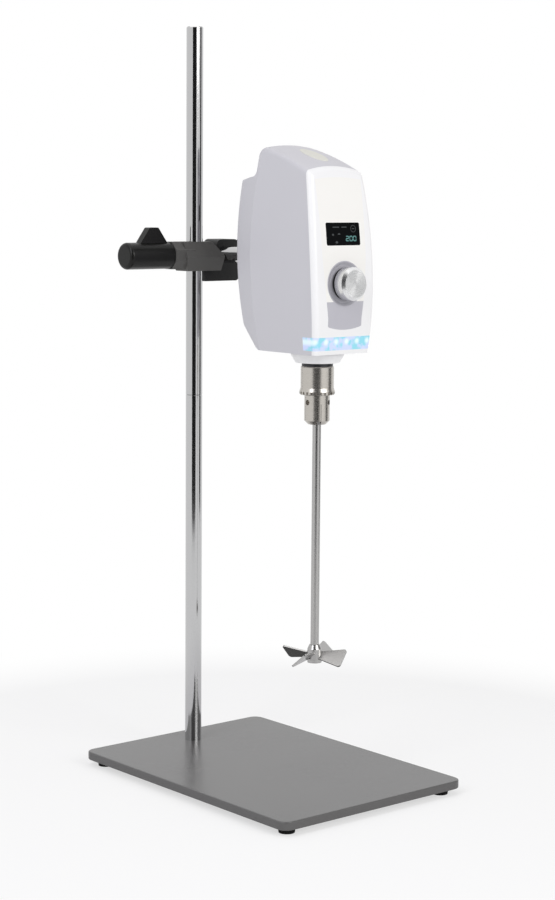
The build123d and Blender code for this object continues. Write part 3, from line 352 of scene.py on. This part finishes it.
materials["light"] = lightMaterial()
slotLook = {
    "base_paint": "basePaint",
    "rubber_feet": "rubber",
    "bright_rod": "brightRod",
    "clamp_paint": "clampPaint",
    "holder_paint": "holderPaintedShade",
    "grip_plastic": "gripPlastic",
    "shell_plastic": "shellPaintedShade",
    "bezel_plastic": "bezel",
    "panel_film": "panel",
    "trim_film": "trim",
    "display_glass": "glass",
    "light_plastic": "light",
    "steel": "steel",
    "dark_steel": "darkSteel",
    "chuck_steel": "chuck",
    "turned_aluminium": "aluminium",
    "sheet_aluminium": "sheet",
    "brass_pad": "brass",
    "circuit_board": "board",
}
for part in frame["record"]["subparts"]:
    mesh = nodes[part["node"]].data
    mesh.materials.clear()
    mesh.materials.append(materials[slotLook[part["material_slot"]]])
print("stage: materials on the carried pieces")


def nodePoints(node):
    mesh = nodes[node].data
    points = np.empty(len(mesh.vertices) * 3)
    mesh.vertices.foreach_get("co", points)
    return points.reshape(-1, 3)


def quadratic(u, v):
    return np.stack([np.ones_like(u), u, v, u * u, u * v, v * v], axis=-1)


def fitSurface(points, u, v, w):
    # least-squares quadratic w = f(u, v) through the points; u, v and w are axis numbers
    middle = points.mean(axis=0)
    rel = points - middle
    weights = np.linalg.lstsq(quadratic(rel[:, u], rel[:, v]), rel[:, w], rcond=None)[0]
    return lambda a, b: middle[w] + quadratic(a - middle[u], b - middle[v]) @ weights


def newPiece(name, points, faces, look, body):
    mesh = bpy.data.meshes.new(name)
    mesh.from_pydata(np.asarray(points).tolist(), [], faces)
    mesh.materials.append(materials[look])
    piece = bpy.data.objects.new(name, mesh)
    bpy.context.scene.collection.objects.link(piece)
    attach(piece, body)
    return piece


roofInlay = {
    "x": 0.0355,
    "y": -0.0150,
    "halfX": 0.0095,
    "halfY": 0.0165,
    "lift": 0.0003,
    "sink": 0.0003,  # how far the rim dips below the roof
    "rings": 7,
    "steps": 48,
    "firstRing": 0.12,  # shares of the oval's size
    "rim": 1.03,
    "reach": 0.024,  # half width of the roof patch that is fitted
    "depth": 0.030,
    "stray": 0.0005,
}


def makeRoofInlay():
    # flat oval laid on the roof: (x, y) = centre + r (a cos t, b sin t), z from the roof, rim rolled under
    shape = roofInlay
    points = nodePoints("main_shell")
    centre = np.array([shape["x"], shape["y"]])
    near = (np.abs(points[:, :2] - centre) < shape["reach"]).all(axis=1)
    crest = points[near]
    crest = crest[crest[:, 2] > crest[:, 2].max() - shape["depth"]]
    roof = fitSurface(crest, 0, 1, 2)
    gap = crest[:, 2] - roof(crest[:, 0], crest[:, 1])
    roof = fitSurface(crest[gap > -shape["stray"]], 0, 1, 2)  # points under the skin left out
    radius = np.append(np.linspace(shape["firstRing"], 1.0, shape["rings"]), shape["rim"])
    turn = np.arange(shape["steps"]) * 2 * math.pi / shape["steps"]
    r, t = np.meshgrid(radius, turn, indexing="ij")
    x = shape["x"] + shape["halfX"] * r * np.cos(t)
    y = shape["y"] + shape["halfY"] * r * np.sin(t)
    rise = np.where(r > 1.0, -shape["sink"], shape["lift"])
    z = roof(x, y) + rise
    ringCount, steps = r.shape
    points = np.stack([x, y, z], axis=-1).reshape(-1, 3)
    points = np.vstack([points, [*centre, float(roof(*centre)) + shape["lift"]]])
    index = np.arange(ringCount * steps).reshape(ringCount, steps)
    after = np.roll(index, -1, axis=1)
    quads = np.stack([index[:-1], index[1:], after[1:], after[:-1]], axis=-1).reshape(-1, 4)
    hub = np.stack([np.full(steps, ringCount * steps), index[0], after[0]], axis=-1)
    faces = quads.tolist() + hub.tolist()
    return newPiece("roof_inlay", points, faces, "inlay", "head")


makeRoofInlay()

display = {
    "digits": [("2", 0.62), ("0", 0.73), ("0", 0.84)],
    "digitWidth": 0.075,
    "digitHeight": 0.20,
    "digitBase": 0.20,
    "stroke": 0.020,
    "point": 0.2,  # how far a stroke's end reaches past its corners, in half strokes
    "ring": {"u": 0.81, "v": 0.73, "radius": 0.075, "steps": 20, "stroke": 0.018},
    # (u0, v0, u1, v1, stroke) of the small marks, in shares of the window's width and height
    "small": [
        (0.20, 0.80, 0.40, 0.80, 0.022),
        (0.46, 0.80, 0.62, 0.80, 0.022),
        (0.17, 0.47, 0.23, 0.47, 0.05),
        (0.34, 0.50, 0.42, 0.50, 0.03),
        (0.26, 0.14, 0.34, 0.14, 0.05),
        (0.77, 0.73, 0.85, 0.73, 0.018),
    ],
    "clearOfSides": 0.40,  # share of the width kept to either side of the middle when fitting
    "lift": 0.00006,
}
# segments of a numeral on a unit cell, as (x0, z0, x1, z1)
segments = {
    "top": (0, 1, 1, 1),
    "middle": (0, 0.5, 1, 0.5),
    "bottom": (0, 0, 1, 0),
    "upLeft": (0, 0.5, 0, 1),
    "upRight": (1, 0.5, 1, 1),
    "lowLeft": (0, 0, 0, 0.5),
    "lowRight": (1, 0, 1, 0.5),
}
numerals = {
    "2": ("top", "upRight", "middle", "lowLeft", "bottom"),
    "0": ("top", "upLeft", "upRight", "lowLeft", "lowRight", "bottom"),
}


def makeDisplay():
    # strokes laid on the window: each is a flat bar in the window's own (across, up) measure
    low, high = (np.array(corner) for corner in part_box("display_window"))
    wide = high[0] - low[0]
    tall = high[2] - low[2]
    points = nodePoints("display_window")
    inner = np.abs(points[:, 0] - (low[0] + high[0]) / 2) < wide * display["clearOfSides"]
    front = points[inner]
    plane = fitSurface(front, 0, 2, 1)
    front = front[front[:, 1] <= plane(front[:, 0], front[:, 2])]  # the back of the window left out
    plane = fitSurface(front, 0, 2, 1)

    def bars(name, pieces, look):
        # pieces: rows of (u0, v0, u1, v1, stroke) in shares of the window's width and height
        rows = np.array(pieces, dtype=float)
        start = rows[:, 0:2] * (wide, tall)
        end = rows[:, 2:4] * (wide, tall)
        width = rows[:, 4:5] * wide / 2
        run = end - start
        run = run / np.maximum(np.linalg.norm(run, axis=1, keepdims=True), 1e-9)
        side = np.stack([-run[:, 1], run[:, 0]], axis=1) * width
        tip = run * width
        point = tip * display["point"]
        upper = [start - point, start + side + tip, end + side - tip]
        lower = [end + point, end - side - tip, start - side + tip]
        corners = np.stack(upper + lower, axis=1)
        flat = corners.reshape(-1, 2) + (low[0], low[2])
        y = plane(flat[:, 0], flat[:, 1]) - display["lift"]
        shape = np.stack([flat[:, 0], y, flat[:, 1]], axis=1)
        faces = np.arange(len(flat)).reshape(-1, 6)[:, ::-1].tolist()
        return newPiece(name, shape, faces, look, "head")

    # u = middle - width / 2 + x width, v = base + z height, for each segment's two ends
    strokes = []
    digitWidth, digitHeight = display["digitWidth"], display["digitHeight"]
    for numeral, middle in display["digits"]:
        left = middle - digitWidth / 2
        for part in numerals[numeral]:
            x0, z0, x1, z1 = segments[part]
            ends = [left + x0 * digitWidth, display["digitBase"] + z0 * digitHeight]
            ends += [left + x1 * digitWidth, display["digitBase"] + z1 * digitHeight]
            strokes.append((*ends, display["stroke"]))
    bars("display_digits", strokes, "digits")

    # round ring: (u, v) = centre + radius (cos t, sin t wide / tall)
    circle = display["ring"]
    turn = np.arange(circle["steps"]) * 2 * math.pi / circle["steps"]
    ringU = circle["u"] + circle["radius"] * np.cos(turn)
    ringV = circle["v"] + circle["radius"] * np.sin(turn) * wide / tall
    stroke = np.full(circle["steps"], circle["stroke"])
    ring = np.stack([ringU, ringV, np.roll(ringU, -1), np.roll(ringV, -1), stroke], axis=1)
    bars("display_marks", ring.tolist() + display["small"], "marks")


makeDisplay()
print("stage: roof inlay and display figures")

camera = {
    "place": (-1.2275, -1.4651, 0.5545),
    "yaw": 40.12,
    "pitch": 7.18,
    "roll": 0.431,
    "lens": 83.06,
    "sensor": 36,
    "farEnd": 20,
}
data = bpy.data.cameras.new("camera")
data.lens = camera["lens"]
data.sensor_width = camera["sensor"]
data.clip_end = camera["farEnd"]
eye = bpy.data.objects.new("camera", data)
bpy.context.scene.collection.objects.link(eye)
yaw, pitch, roll = (math.radians(camera[key]) for key in ("yaw", "pitch", "roll"))
forward = Vector((math.sin(yaw) * math.cos(pitch), math.cos(yaw) * math.cos(pitch), -math.sin(pitch)))
level = Vector((math.cos(yaw), -math.sin(yaw), 0))
rise = level.cross(forward)
right = level * math.cos(roll) + rise * math.sin(roll)
up = rise * math.cos(roll) - level * math.sin(roll)
turn = Matrix((right, up, -forward)).transposed().to_4x4()
eye.matrix_world = Matrix.Translation(camera["place"]) @ turn
bpy.context.scene.camera = eye

scene = bpy.context.scene
scene.view_settings.view_transform = "Standard"
studio = {
    "paper": (0.95, 0.95, 0.95),
    "size": 6.0,
    "fadeFrom": 0.20,
    "fadeTo": 0.60,
    "lift": 0.62,
    "skyLight": (0.97, 0.97, 1.0),
    "skyPower": 0.42,
}


def flatQuad(name, corners):
    mesh = bpy.data.meshes.new(name)
    mesh.from_pydata(corners, [], [(0, 1, 2, 3)])
    quad = bpy.data.objects.new(name, mesh)
    scene.collection.objects.link(quad)
    return quad


def paperMaterial():
    # plain paper that turns to even white away from the object, and is lifted where it is seen directly
    material = bpy.data.materials.new("paper")
    material.use_nodes = True
    tree = material.node_tree
    shader = tree.nodes["Principled BSDF"]
    shader.inputs["Base Color"].default_value = (*studio["paper"], 1)
    shader.inputs["Roughness"].default_value = 1.0
    shader.inputs["Specular IOR Level"].default_value = 0.0
    place = addNode(tree, "ShaderNodeTexCoord")
    reach = addNode(tree, "ShaderNodeVectorMath", operation="LENGTH")
    limits = {1: studio["fadeFrom"], 2: studio["fadeTo"]}
    ramp = addNode(tree, "ShaderNodeMapRange", limits, interpolation_type="SMOOTHSTEP")
    white = addNode(tree, "ShaderNodeEmission", {"Strength": 1.0})
    mix = addNode(tree, "ShaderNodeMixShader")
    lightPath = addNode(tree, "ShaderNodeLightPath")
    lift = addNode(tree, "ShaderNodeMath", {1: studio["lift"]}, operation="MULTIPLY")
    whiter = addNode(tree, "ShaderNodeMath", operation="MAXIMUM")
    tree.links.new(place.outputs["Object"], reach.inputs[0])
    tree.links.new(reach.outputs["Value"], ramp.inputs[0])
    tree.links.new(lightPath.outputs["Is Camera Ray"], lift.inputs[0])
    tree.links.new(lift.outputs[0], whiter.inputs[0])
    tree.links.new(ramp.outputs[0], whiter.inputs[1])
    tree.links.new(whiter.outputs[0], mix.inputs[0])
    tree.links.new(shader.outputs[0], mix.inputs[1])
    tree.links.new(white.outputs[0], mix.inputs[2])
    tree.links.new(mix.outputs[0], tree.nodes["Material Output"].inputs["Surface"])
    return material


half = studio["size"]
floor = flatQuad("floor", [(-half, -half, 0), (half, -half, 0), (half, half, 0), (-half, half, 0)])
floor.data.materials.append(paperMaterial())


def card(name, centre, distance, fromAngle, toAngle, high, grey):
    # dark flag seen only in reflections; angles are from the camera's side of centre, right positive
    # its foot is on the floor: ends = centre + distance (toward cos a + side sin a)
    centre = Vector(centre)
    toward = Vector(camera["place"]) - centre
    toward.z = 0
    toward.normalize()
    side = Vector((-toward.y, toward.x, 0))
    angles = [math.radians(angle) for angle in (fromAngle, toAngle)]
    ends = [centre + distance * (toward * math.cos(a) + side * math.sin(a)) for a in angles]
    near, far = ends
    quad = flatQuad(name, [(*near.xy, 0.0), (*far.xy, 0.0), (*far.xy, high), (*near.xy, high)])
    material = bpy.data.materials.new(name)
    material.use_nodes = True
    shader = material.node_tree.nodes["Principled BSDF"]
    shader.inputs["Base Color"].default_value = (grey, grey, grey, 1)
    shader.inputs["Roughness"].default_value = 1.0
    shader.inputs["Specular IOR Level"].default_value = 0.0
    quad.data.materials.append(material)
    quad.visible_camera = False
    quad.visible_diffuse = False
    quad.visible_shadow = False
    quad.visible_transmission = False
    return quad


card("flagBehindCamera", (0, 0.1176, 0), distance=1.5, fromAngle=-28, toAngle=24, high=2.4, grey=0.02)
card("flagRight", (0.034, -0.0244, 0), distance=1.5, fromAngle=85, toAngle=112, high=2.4, grey=0.05)

# the sky: plain white where seen directly, in reflections or through glass, and softer as a light
world = bpy.data.worlds.new("studio")
scene.world = world
world.use_nodes = True
sky = world.node_tree
sky.nodes.clear()
lightPath = addNode(sky, "ShaderNodeLightPath")
plain = addNode(sky, "ShaderNodeBackground", {"Color": (1, 1, 1, 1), "Strength": 1.0})
light = {"Color": (*studio["skyLight"], 1), "Strength": studio["skyPower"]}
soft = addNode(sky, "ShaderNodeBackground", light)
pick = addNode(sky, "ShaderNodeMixShader")
out = addNode(sky, "ShaderNodeOutputWorld")
seen = addNode(sky, "ShaderNodeMath", operation="MAXIMUM")
direct = addNode(sky, "ShaderNodeMath", operation="MAXIMUM")
sky.links.new(lightPath.outputs["Is Camera Ray"], seen.inputs[0])
sky.links.new(lightPath.outputs["Is Glossy Ray"], seen.inputs[1])
sky.links.new(seen.outputs[0], direct.inputs[0])
sky.links.new(lightPath.outputs["Is Transmission Ray"], direct.inputs[1])
sky.links.new(direct.outputs[0], pick.inputs[0])
sky.links.new(soft.outputs[0], pick.inputs[1])
sky.links.new(plain.outputs[0], pick.inputs[2])
sky.links.new(pick.outputs[0], out.inputs["Surface"])


def areaLamp(name, place, target, size, power, color=(1, 1, 1)):
    lamp = bpy.data.lights.new(name, "AREA")
    lamp.shape = "RECTANGLE"
    lamp.size, lamp.size_y = size
    lamp.energy = power
    lamp.color = color
    holder = bpy.data.objects.new(name, lamp)
    scene.collection.objects.link(holder)
    holder.location = place
    holder.rotation_euler = (Vector(target) - Vector(place)).to_track_quat("-Z", "Y").to_euler()
    return holder


areaLamp("keyLamp", (0.35, -2.6, 1.5), (0, 0, 0.4), (1.4, 1.4), 31, (1.0, 0.99, 0.97))
areaLamp("topLamp", (-0.2, 0.2, 2.6), (0, 0, 0.3), (2.0, 2.0), 10, (1.0, 0.97, 0.94))
areaLamp("sideLamp", (-2.0, -0.5, 1.9), (0, 0, 0.4), (1.0, 1.8), 25, (0.95, 0.955, 1.0))
print("stage: camera, floor and lamps")
